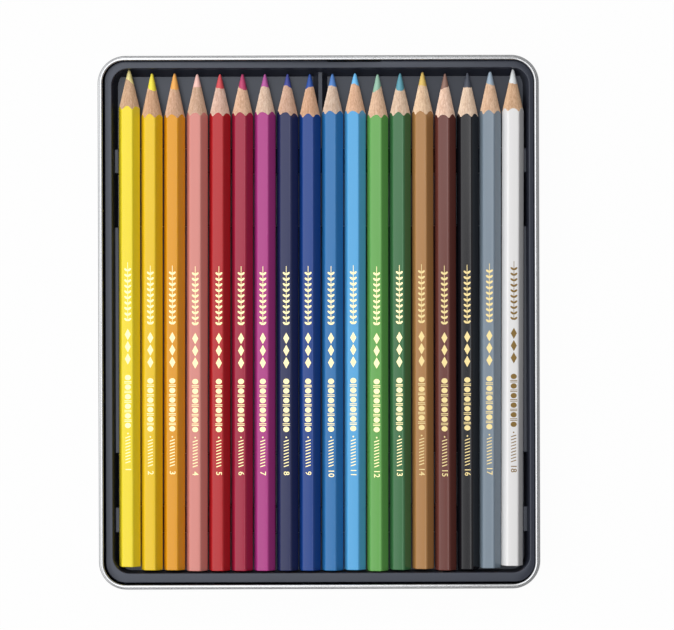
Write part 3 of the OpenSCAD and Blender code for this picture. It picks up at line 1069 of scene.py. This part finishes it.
def tray_bed(plan):
    """The tray's floor with its cradles, rib and tip wall as one closed slab over a grid of points."""
    sizes = plan.sizes
    lean = sizes.cradle_lean
    hidden = 0.2 * MM
    inset = Vector((sizes.side_lean / 2, hidden))
    low = plan.open_low + inset
    high = plan.open_high - inset
    corner = sizes.corner - hidden
    radius = plan.groove_radius
    half_land = math.sqrt(radius**2 - sizes.land_drop**2)
    groove_steps = 14
    corner_steps = 8
    opening_turn = math.asin(half_land / radius)
    end_round = 0.12 * lean
    near_wall = 0.8 * MM
    hollow_step = 0.05 * MM
    slack = 1e-9

    columns = {low.x, high.x, low.x + near_wall, high.x - near_wall}
    for centre in plan.axes_x:
        for step in range(groove_steps + 1):
            columns.add(centre + radius * math.sin(opening_turn * (2 * step / groove_steps - 1)))
        columns.update((centre - half_land - sizes.edge_round, centre + half_land + sizes.edge_round))
    for half in (sizes.rib_top / 2, sizes.rib_foot / 2):
        columns.update((plan.row_x - half, plan.row_x + half))
    columns = sorted(x for x in columns if low.x <= x <= high.x)
    rows = {low.y, high.y, high.y - sizes.tip_wall_lean}
    for step in range(1, corner_steps + 1):
        reach = corner * (1 - math.cos(math.radians(90 * step / corner_steps)))
        rows.update((low.y + reach, high.y - reach))
    for middle, length in plan.cradles:
        half = length / 2
        for side in (-1, 1):
            rows.update(
                middle + side * (half + along)
                for along in (lean, end_round, -sizes.edge_round, -sizes.sheet, -sizes.sheet - hollow_step)
            )
    rows = sorted(rows)

    def cradle_share(y):
        """How much of a cradle's height is there: all on it, less down its leaning ends, none off it."""
        share = 0
        for middle, length in plan.cradles:
            past = abs(y - middle) - length / 2
            if past <= -sizes.edge_round:
                return 1
            if past < end_round + slack:
                share = max(share, 0.96)
            elif past < lean:
                share = max(share, (lean - past) / lean)
        return share

    def groove_z(x):
        """The height of the grooves and of the lands between them, whose edges are eased."""
        away = min(abs(x - centre) for centre in plan.axes_x)
        if away >= half_land + sizes.edge_round * 0.5:
            return plan.land_z
        if away >= half_land - slack:
            return plan.land_z - 0.3 * sizes.edge_round
        return plan.axis_z - math.sqrt(radius**2 - away**2)

    def top(x, y):
        """The height of the bed's upper side: the highest of floor, cradle, rib and tip wall."""
        z = plan.floor_z
        share = cradle_share(y)
        if share > 0:
            z = max(z, min(groove_z(x), plan.floor_z + share * (plan.land_z - plan.floor_z)))
        front_cradle_y = plan.cradles[2][0]
        if y > front_cradle_y:
            foot_half, top_half = sizes.rib_foot / 2, sizes.rib_top / 2
            share = (foot_half - abs(x - plan.row_x)) / (foot_half - top_half)
            z = max(z, plan.floor_z + min(share, 1) * (plan.rib_z - plan.floor_z))
        steep_z = plan.high.z - sizes.tip_wall_steep
        share = (y - (high.y - sizes.tip_wall_lean)) / sizes.tip_wall_lean
        return max(z, plan.floor_z + min(share, 1) * (steep_z - plan.floor_z))

    def under(x, y):
        """The height of the bed's underside, which is hollow under the cradles."""
        inside_x = min(x - low.x, high.x - x) > sizes.sheet
        wall = sizes.sheet + 0.4 * hollow_step
        inside_y = any(abs(y - middle) < length / 2 - wall for middle, length in plan.cradles)
        hollow_z = plan.axis_z - radius - sizes.sheet
        return hollow_z if inside_x and inside_y else plan.low.z

    def half_width_loss(y):
        """How much narrower the bed is on either side there, in its rounded corners."""
        into = max(low.y + corner - y, y - (high.y - corner), 0)
        return corner - math.sqrt(max(corner**2 - into**2, 0))

    points = []
    for surface in (top, under):
        for y in rows:
            loss = half_width_loss(y)
            for x in columns:
                x = min(max(x, low.x + loss), high.x - loss)
                points.append((x, y, surface(x, y)))
    wide, deep = len(columns), len(rows)
    layer = wide * deep
    faces = []
    for row in range(deep - 1):
        for column in range(wide - 1):
            a = row * wide + column
            faces.append((a, a + 1, a + wide + 1, a + wide))
            faces.append((layer + a + wide, layer + a + wide + 1, layer + a + 1, layer + a))
    border = list(range(wide))
    border += [row * wide + wide - 1 for row in range(1, deep)]
    border += [(deep - 1) * wide + column for column in range(wide - 2, -1, -1)]
    border += [row * wide for row in range(deep - 2, 0, -1)]
    for first, second in zip(border, border[1:] + border[:1]):
        faces.append((first, layer + first, layer + second, second))
    return mesh_from("tray_bed", points, faces)


def joined_solids(first, second):
    """The union of two closed meshes as one."""
    body = bpy.data.objects.new("joined_first", first)
    other = bpy.data.objects.new("joined_second", second)
    for made in (body, other):
        bpy.context.scene.collection.objects.link(made)
    union = body.modifiers.new("union", "BOOLEAN")
    union.operation = "UNION"
    union.solver = "EXACT"
    union.object = other
    mesh = plain_result(body)
    bpy.data.batch_remove([other, second])
    return mesh


class PENCILTIN_OT_tray(bpy.types.Operator):
    """Make the moulded tray"""

    bl_idname = "pencil_tin.make_tray"
    bl_label = "Make Tray"

    def execute(self, context):
        settings = context.scene.pencil_tin
        plan = TrayPlan(settings.tray, settings.pencil, len(settings.pencils))
        mesh = joined_solids(tray_rim(plan), tray_bed(plan))
        mesh.name = "tray_insert"
        plastic = moulded_plastic("tray_plastic", settings.finishes.tray)
        piece("tray_insert", mesh, [plastic], "tray", replaces="tray")
        return {"FINISHED"}


# --------------------------------------------------------------------------------------------------
# Pencils
# --------------------------------------------------------------------------------------------------


class PencilForm:
    """One pencil's shape in its own frame: y from its flat end, and turns from straight up to the right."""

    def __init__(self, number, sizes, look):
        self.sizes = sizes
        self.look = look
        self.x, self.z, self.start, point = pencil_axis(number)
        self.length = point - self.start
        self.roll = sizes.roll + look.extra_roll
        self.slope = math.tan(look.point_angle)
        self.core_side = look.core_slant * self.slope / 2
        self.core_up = look.core_length * self.slope + look.point_radius - sizes.core_radius
        self.apothem = sizes.flats / 2

    def barrel_outline(self):
        """The hexagon's points round the axis as (angle, radius): swollen flats and rounded edges."""
        sizes = self.sizes
        flat_steps = 8
        edge_steps = 5
        corner = self.apothem / math.cos(HALF_SIDE_TURN)
        round_centre = corner - sizes.edge_round / math.cos(HALF_SIDE_TURN)
        half_flat = (self.apothem - sizes.edge_round) * math.tan(HALF_SIDE_TURN)
        outline = []
        for side in range(6):
            turn = 2 * side * HALF_SIDE_TURN + self.roll
            for step in range(flat_steps + 1):
                across = half_flat * (2 * step / flat_steps - 1)
                swell = sizes.crown * (1 - (across / half_flat) ** 2)
                angle_off = math.atan2(across, self.apothem)
                outline.append((turn + angle_off, math.hypot(across, self.apothem + swell)))
            edge = turn + HALF_SIDE_TURN
            for step in range(1, edge_steps):
                bend = HALF_SIDE_TURN * (2 * step / edge_steps - 1)
                x = round_centre + sizes.edge_round * math.cos(bend)
                y = sizes.edge_round * math.sin(bend)
                outline.append((edge + math.atan2(y, x), math.hypot(x, y)))
        return outline

    def cone_y(self, radius):
        """How far along the pencil the cone has that radius."""
        return self.length - (radius - self.look.point_radius) / self.slope

    def core_ring(self, turn, radius):
        """A point at that turn round the core's own axis, off the pencil's axis by what the core is off."""
        return self.core_side + radius * math.sin(turn), self.core_up + radius * math.cos(turn)

    def cut_y(self, x, z, turn):
        """Where the cone cuts the surface of the core there, with the small tears that the blade left."""
        wide_tears = 0.072 * math.sin(5 * turn + 40 * self.look.point_angle)
        fine_tears = 0.048 * math.sin(11 * turn + 3)
        return self.cone_y(math.hypot(x, z)) + (wide_tears + fine_tears) * MM

    def lacquer_y(self, turn, radius):
        """Where the cone cuts the lacquer: flatter scallops than a true cone gives, and slightly ragged."""
        scallop_middle = self.apothem * 1.06
        scallop = scallop_middle + 0.7 * (radius - scallop_middle)
        place = self.x / MM
        wide_tears = 0.09 * math.sin(4 * turn + 50 * self.look.point_angle + place)
        fine_tears = 0.06 * math.sin(9 * turn + place)
        lean = self.look.cone_lean / 2 * math.sin(turn)
        return self.cone_y(scallop) - lean + (wide_tears + fine_tears) * MM

    def place(self, x, y, z):
        """A point in the object's frame. The pencil lies a little askew in its grooves."""
        share = (y - self.sizes.back_hold) / (self.sizes.front_hold - self.sizes.back_hold)
        drift = self.look.back_drift + share * (self.look.front_drift - self.look.back_drift)
        return Vector((self.x + drift + x, self.start + y, self.z + z))

    def placed(self, rings):
        """The rings' points in the object's frame."""
        return [self.place(*point) for ring in rings for point in ring]


def round_ring(turns, radius, y):
    """A ring of points round the pencil's axis."""
    return [(radius * math.sin(turn), y, radius * math.cos(turn)) for turn in turns]


def pencil_wood_mesh(name, form):
    """Barrel, cone, cut end and bore as one closed surface, with lacquer on all but cone, bore and cut."""
    sizes = form.sizes
    outline = form.barrel_outline()
    bore = sizes.core_radius + sizes.glue_gap

    def barrel_ring(inwards, y):
        return [((r - inwards) * math.sin(a), y, (r - inwards) * math.cos(a)) for a, r in outline]

    def cone_ring(inwards):
        return [
            ((r - inwards) * math.sin(a), form.lacquer_y(a, r), (r - inwards) * math.cos(a))
            for a, r in outline
        ]

    bore_front = []
    bore_back = []
    for turn, _ in outline:
        x, z = form.core_ring(turn, bore)
        bore_front.append((x, form.cut_y(x, z, turn), z))
        bore_back.append((x, 0, z))
    end = sizes.end_round
    rings = [
        bore_back,
        bore_front,
        cone_ring(sizes.lacquer),
        cone_ring(0),
        barrel_ring(0, end),
        barrel_ring(0.13 * end, 0.5 * end),
        barrel_ring(0.5 * end, 0.13 * end),
        barrel_ring(end, 0),
    ]
    bare_bands = (0, 1, len(rings) - 1)
    mesh = bpy.data.meshes.new(name)
    mesh.from_pydata(form.placed(rings), [], grid_faces(len(rings), len(outline), close_rings=True))
    for polygon in mesh.polygons:
        band = polygon.index // len(outline)
        polygon.material_index = 1 if band in bare_bands else 0
    with edited(mesh) as work:
        face_outwards(work)
    tone = mesh.attributes.new("cedar_colour", "FLOAT_COLOR", "POINT")
    for value in tone.data:
        value.color = (*form.look.cedar, 1)
    return mesh


def pencil_core_mesh(name, form):
    """The coloured core: a rod with the cone's point at one end and a flat cut at the other."""
    sizes = form.sizes
    columns = 40
    tip_steps = 5
    tip_height = 0.8
    turns = even_turns(columns)
    blunt = form.look.point_radius
    tilt = form.look.point_angle
    rod_start = []
    rod_end = []
    for turn in turns:
        x, z = form.core_ring(turn, sizes.core_radius)
        rod_start.append((x, 0, z))
        rod_end.append((x, form.cut_y(x, z, turn), z))
    rings = [rod_start, rod_end]
    for share in (0.66, 0.33):
        radius = blunt + share * (sizes.core_radius - blunt)
        rings.append(round_ring(turns, radius, form.cone_y(radius)))
    tip_radius = blunt / math.cos(tilt)
    for step in range(tip_steps):
        lift = tilt + (math.pi / 2 - tilt) * step / tip_steps
        rise = (math.sin(lift) - math.sin(tilt)) / (1 - math.sin(tilt))
        y = form.length + tip_height * tip_radius * (rise - 1)
        rings.append(round_ring(turns, tip_radius * math.cos(lift), y))
    points = form.placed(rings)
    faces = grid_faces(len(rings), columns)
    points.append(form.place(0, form.length, 0))
    tip = len(points) - 1
    last = (len(rings) - 1) * columns
    faces += [(last + column, last + (column + 1) % columns, tip) for column in range(columns)]
    faces.append(tuple(range(columns)))
    return mesh_from(name, points, faces)


class PENCILTIN_OT_pencils(bpy.types.Operator):
    """Make the wood and the core of every pencil"""

    bl_idname = "pencil_tin.make_pencils"
    bl_label = "Make Pencils"

    def execute(self, context):
        settings = context.scene.pencil_tin
        wood = cedar("cedar")
        for number, look in enumerate(settings.pencils, 1):
            form = PencilForm(number, settings.pencil, look)
            casing, lead = pencil_nodes(number)
            body = f"pencil_{number:02d}"
            lacquer_slot, core_slot = f"lacquer_{number:02d}", f"core_{number:02d}"
            paint = gloss_lacquer(lacquer_slot, look.lacquer)
            mesh = pencil_wood_mesh(f"{body}_wood", form)
            piece(f"{body}_wood", mesh, [paint, wood], body, replaces=casing)
            wax = waxy_core(core_slot, look.core)
            mesh = pencil_core_mesh(f"{body}_core", form)
            piece(f"{body}_core", mesh, [wax], body, replaces=lead)
        return {"FINISHED"}


# --------------------------------------------------------------------------------------------------
# Foil stamping
# --------------------------------------------------------------------------------------------------


def mark(outline, thickness):
    """A closed flat mark of that outline, sunk a little into the lacquer under it."""
    corners = len(outline)
    points = [(x, y, -FOIL_SUNK) for x, y in outline] + [(x, y, thickness) for x, y in outline]
    faces = [tuple(reversed(range(corners))), tuple(range(corners, 2 * corners))]
    faces += [(i, (i + 1) % corners, corners + (i + 1) % corners, corners + i) for i in range(corners)]
    return mesh_from("mark", points, faces)


def leaf_outline(length, width, lean, side):
    """A pointed leaf that grows out of the sprig's stem to one side, 1 or -1."""
    points = []
    for turn in even_turns(12):
        along = length * (0.5 - 0.5 * math.cos(turn))
        across = width / 2 * math.sin(turn)
        x = along * math.cos(lean) - across * math.sin(lean)
        y = along * math.sin(lean) + across * math.cos(lean)
        points.append((side * x, y))
    return points[::side]


def block_outline(width, length, slant=0):
    """A block, whose right side lies further along than its left by twice the slant."""
    half = width / 2
    return [
        (-half, -length / 2 - slant),
        (half, -length / 2 + slant),
        (half, length / 2 + slant),
        (-half, length / 2 - slant),
    ]


def round_outline(width, length):
    """A round or oval mark."""
    return [(width / 2 * math.cos(turn), length / 2 * math.sin(turn)) for turn in even_turns(20)]


def lozenge_outline(width, length):
    """A lozenge that stands on its point."""
    return [(width / 2, 0), (0, length / 2), (-width / 2, 0), (0, -length / 2)]


def stamping(foil, number, material):
    """The stamping of one pencil, flat, with y from the pencil's flat end: a list of meshes."""
    tree = bpy.data.node_groups.get("Stamp row") or stamp_row_tree()

    def row(outline, repeats, start, step=0):
        values = {"Count": repeats, "Start": (0, start, 0), "Step": (0, step, 0), "Material": material}
        return evaluated(mark(outline, foil.thickness), tree, values)

    stem = block_outline(foil.stem_width, foil.sprig_length)
    meshes = [row(stem, 1, foil.sprig_start + foil.sprig_length / 2)]
    pair_step = foil.sprig_length / (foil.leaf_pairs + 0.6)
    leaf_length = foil.sprig_width / 2 / math.cos(foil.leaf_lean)
    for side in (1, -1):
        leaf = leaf_outline(leaf_length, foil.leaf_width, foil.leaf_lean, side)
        meshes.append(row(leaf, foil.leaf_pairs, foil.sprig_start, pair_step))
    lozenge = lozenge_outline(foil.lozenge_width, foil.lozenge_length)
    meshes.append(row(lozenge, foil.lozenges, foil.lozenge_start, foil.lozenge_step))
    bead_step = foil.beads_length / foil.beads
    width_share, length_share = 0.86, 0.56
    bead = round_outline(foil.beads_width * width_share, bead_step * length_share)
    meshes.append(row(bead, foil.beads, foil.beads_start + bead_step / 2, bead_step))
    bar = block_outline(foil.beads_width, foil.bar_length)
    for shift in (-foil.bar_shift, foil.bar_shift):
        meshes.append(row(bar, foil.beads - 1, foil.beads_start + bead_step + shift, bead_step))
    meshes.append(row(round_outline(foil.dot_width, foil.dot_width), 1, foil.dot_place))
    tick = block_outline(foil.ticks_width, foil.tick_length, foil.tick_slant)
    meshes.append(row(tick, foil.ticks, foil.ticks_start, foil.ticks_length / (foil.ticks - 1)))
    meshes.append(plain_number(number, foil))
    return meshes


def plain_number(number, foil):
    """The pencil's number in the row, read from its right, as a closed flat mark."""
    digit_share = 0.72
    text = bpy.data.curves.new("number", "FONT")
    text.body = str(number)
    text.size = foil.number_height / digit_share
    text.align_x = "CENTER"
    text.align_y = "CENTER"
    text.resolution_u = 3
    text.extrude = (foil.thickness + FOIL_SUNK) / 2
    text.offset = 0.02 * MM
    holder = bpy.data.objects.new("number", text)
    bpy.context.scene.collection.objects.link(holder)
    mesh = plain_result(holder)
    turn = Matrix.Rotation(math.radians(-90), 4, "Z")
    lift = Matrix.Translation((0, foil.number_place, (foil.thickness - FOIL_SUNK) / 2))
    mesh.transform(lift @ turn)
    with edited(mesh) as work:
        merge_doubles(work)
        face_outwards(work)
    return mesh


class PENCILTIN_OT_foil(bpy.types.Operator):
    """Make the foil stamping on every pencil"""

    bl_idname = "pencil_tin.make_foil"
    bl_label = "Make Foil Stamping"

    def execute(self, context):
        settings = context.scene.pencil_tin
        # A material for each tone of the foil; the darker ones carry painted shade
        golds = {name: getattr(settings.finishes, f"foil_{name}") for name in GOLDS}
        foils = {name: stamped_foil(f"foil_{name}", gold) for name, gold in golds.items()}
        for number, look in enumerate(settings.pencils, 1):
            form = PencilForm(number, settings.pencil, look)
            body = f"pencil_{number:02d}"
            half_flat = form.apothem * math.tan(HALF_SIDE_TURN)
            turn = Matrix.Rotation(form.roll, 3, "Y")
            work = bmesh.new()
            for mesh in stamping(settings.foil, number, foils[look.foil]):
                work.from_mesh(mesh)
                bpy.data.meshes.remove(mesh)
            for vertex in work.verts:
                vertex.co.x += look.stamp_side
                swell = settings.pencil.crown * (1 - (vertex.co.x / half_flat) ** 2)
                vertex.co.z += form.apothem + max(swell, 0)
                vertex.co = form.place(*(turn @ vertex.co))
            mesh = bpy.data.meshes.new(f"{body}_foil")
            work.to_mesh(mesh)
            work.free()
            piece(f"{body}_foil", mesh, [foils[look.foil]], body)
        return {"FINISHED"}


# --------------------------------------------------------------------------------------------------
# Stage
# --------------------------------------------------------------------------------------------------


def add_lamp(name, place, width, length, power):
    """A rectangular lamp that faces straight down."""
    lamp = bpy.data.lights.new(name, "AREA")
    lamp.shape = "RECTANGLE"
    lamp.size = width
    lamp.size_y = length
    lamp.energy = power
    holder = bpy.data.objects.new(name, lamp)
    holder.location = place
    bpy.context.scene.collection.objects.link(holder)


def studio_world(fill, left_light, front_light):
    """White behind the object, soft light all round, and bright walls on the left and past the points."""
    world = bpy.data.worlds.new("studio")
    world.use_nodes = True
    maker = Maker(world.node_tree)
    direction = maker.field("ShaderNodeTexCoord", output="Generated")
    axes = maker.node("ShaderNodeSeparateXYZ", None, {"Vector": direction}).outputs
    right, ahead, up = (Field(maker, axes[axis]) for axis in "XYZ")
    from_left = (right * -1).math("MAXIMUM", 0)
    from_front = ahead.math("MAXIMUM", 0)
    high_up = up.math("MAXIMUM", 0)
    low_down = 1 - up.math("ABSOLUTE")
    camera, glossy, transmission = maker.rays()
    shiny = glossy + transmission

    # What lights plain surfaces: both walls are brighter higher up
    left_wall = left_light * from_left * (0.1 + 1.5 * high_up)
    front_wall = front_light * from_front * (0.3 + 1.2 * high_up)
    soft = fill + left_wall + front_wall

    # What glossy surfaces mirror: the upper left wall, which stops further left towards the flat ends
    steep = (high_up - 0.35).math("MAXIMUM", 0)
    past_edge = ((right + 0.38) * 25).math("MAXIMUM", 0).math("MINIMUM", 1)
    to_the_back = (ahead * -15).math("MAXIMUM", 0).math("MINIMUM", 1)
    upper_wall = 1.9 * left_light * from_left * steep * (1 - past_edge * to_the_back)
    horizon = low_down * (0.1 + from_left * 0.35 + ahead * 0.1)
    mirrored = 0.28 + upper_wall + horizon

    strength_seen = camera + (1 - camera) * (shiny * mirrored + (1 - shiny) * soft)
    inputs = {"Color": (1, 1, 1, 1), "Strength": strength_seen}
    background = maker.node("ShaderNodeBackground", None, inputs)
    maker.node("ShaderNodeOutputWorld", None, {"Surface": background.outputs[0]})
    return world


class PENCILTIN_OT_stage(bpy.types.Operator):
    """Make the floor, the lights and the camera"""

    bl_idname = "pencil_tin.make_stage"
    bl_label = "Make Stage"

    def execute(self, context):
        scene = context.scene
        settings = scene.pencil_tin
        studio = settings.studio
        ground = CAD_BOX[0].z - 0.02 * MM
        reach = 3.0
        corners = ((-reach, -reach), (reach, -reach), (reach, reach), (-reach, reach))
        floor_mesh = bpy.data.meshes.new("floor")
        floor_mesh.from_pydata([(x, y, ground) for x, y in corners], [], [(0, 1, 2, 3)])
        floor_mesh.materials.append(studio_floor("studio_floor", settings.finishes.floor))
        floor = bpy.data.objects.new("floor", floor_mesh)
        scene.collection.objects.link(floor)

        add_lamp("softbox", place=(-0.235, 0, 2.0), width=0.67, length=3.1, power=studio.softbox)
        scene.world = studio_world(studio.fill, studio.left_light, studio.front_light)

        lens = bpy.data.cameras.new("camera")
        lens.sensor_fit = "HORIZONTAL"
        lens.lens = lens.sensor_width * studio.camera_height * studio.pixels_per_metre / PHOTO_WIDTH_PX
        lens.clip_start = 0.01
        lens.clip_end = 50
        camera = bpy.data.objects.new("camera", lens)
        flange_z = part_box("tray")[1].z
        camera.location = (studio.look_x, studio.look_y, flange_z + studio.camera_height)
        camera.rotation_euler = (0, 0, studio.camera_roll)
        scene.collection.objects.link(camera)
        scene.camera = camera
        scene.view_settings.view_transform = "Standard"
        return {"FINISHED"}


# --------------------------------------------------------------------------------------------------
# Panel, registration and main
# --------------------------------------------------------------------------------------------------


class PENCILTIN_PT_panel(bpy.types.Panel):
    """Lists the pieces of the coloured pencil tin"""

    bl_idname = "PENCILTIN_PT_panel"
    bl_label = "Coloured Pencil Tin"
    bl_space_type = "VIEW_3D"
    bl_region_type = "UI"
    bl_category = "Pencil Tin"

    def draw(self, context):
        for operator in OPERATORS:
            self.layout.operator(operator.bl_idname)


OPERATORS = (
    PENCILTIN_OT_stage,
    PENCILTIN_OT_lid,
    PENCILTIN_OT_tin,
    PENCILTIN_OT_tray,
    PENCILTIN_OT_pencils,
    PENCILTIN_OT_foil,
)
SETTINGS = (
    TinSizes,
    LidSizes,
    TraySizes,
    PencilSizes,
    PencilLook,
    FoilSizes,
    Finishes,
    Studio,
    PencilTinSettings,
)
CLASSES = (*SETTINGS, *OPERATORS, PENCILTIN_PT_panel)


def register():
    for cls in CLASSES:
        bpy.utils.register_class(cls)
    bpy.types.Scene.pencil_tin = PointerProperty(type=PencilTinSettings)


def unregister():
    del bpy.types.Scene.pencil_tin
    for cls in reversed(CLASSES):
        bpy.utils.unregister_class(cls)


def fill_pencil_looks(settings):
    """Gives each pencil of the row its own look."""
    settings.pencils.clear()
    for row in PENCIL_ROWS:
        look = settings.pencils.add()
        for field, value in row._asdict().items():
            if field in COLOUR_FIELDS:
                value = linear(*value)
            elif field in ANGLE_FIELDS:
                value = math.radians(value)
            elif field != "foil":
                value *= MM
            setattr(look, field, value)


def main():
    register()
    fill_pencil_looks(bpy.context.scene.pencil_tin)
    bpy.ops.pencil_tin.make_stage()
    bpy.ops.pencil_tin.make_lid()
    bpy.ops.pencil_tin.make_tin()
    bpy.ops.pencil_tin.make_tray()
    bpy.ops.pencil_tin.make_pencils()
    bpy.ops.pencil_tin.make_foil()


if __name__ == "__main__":
    main()
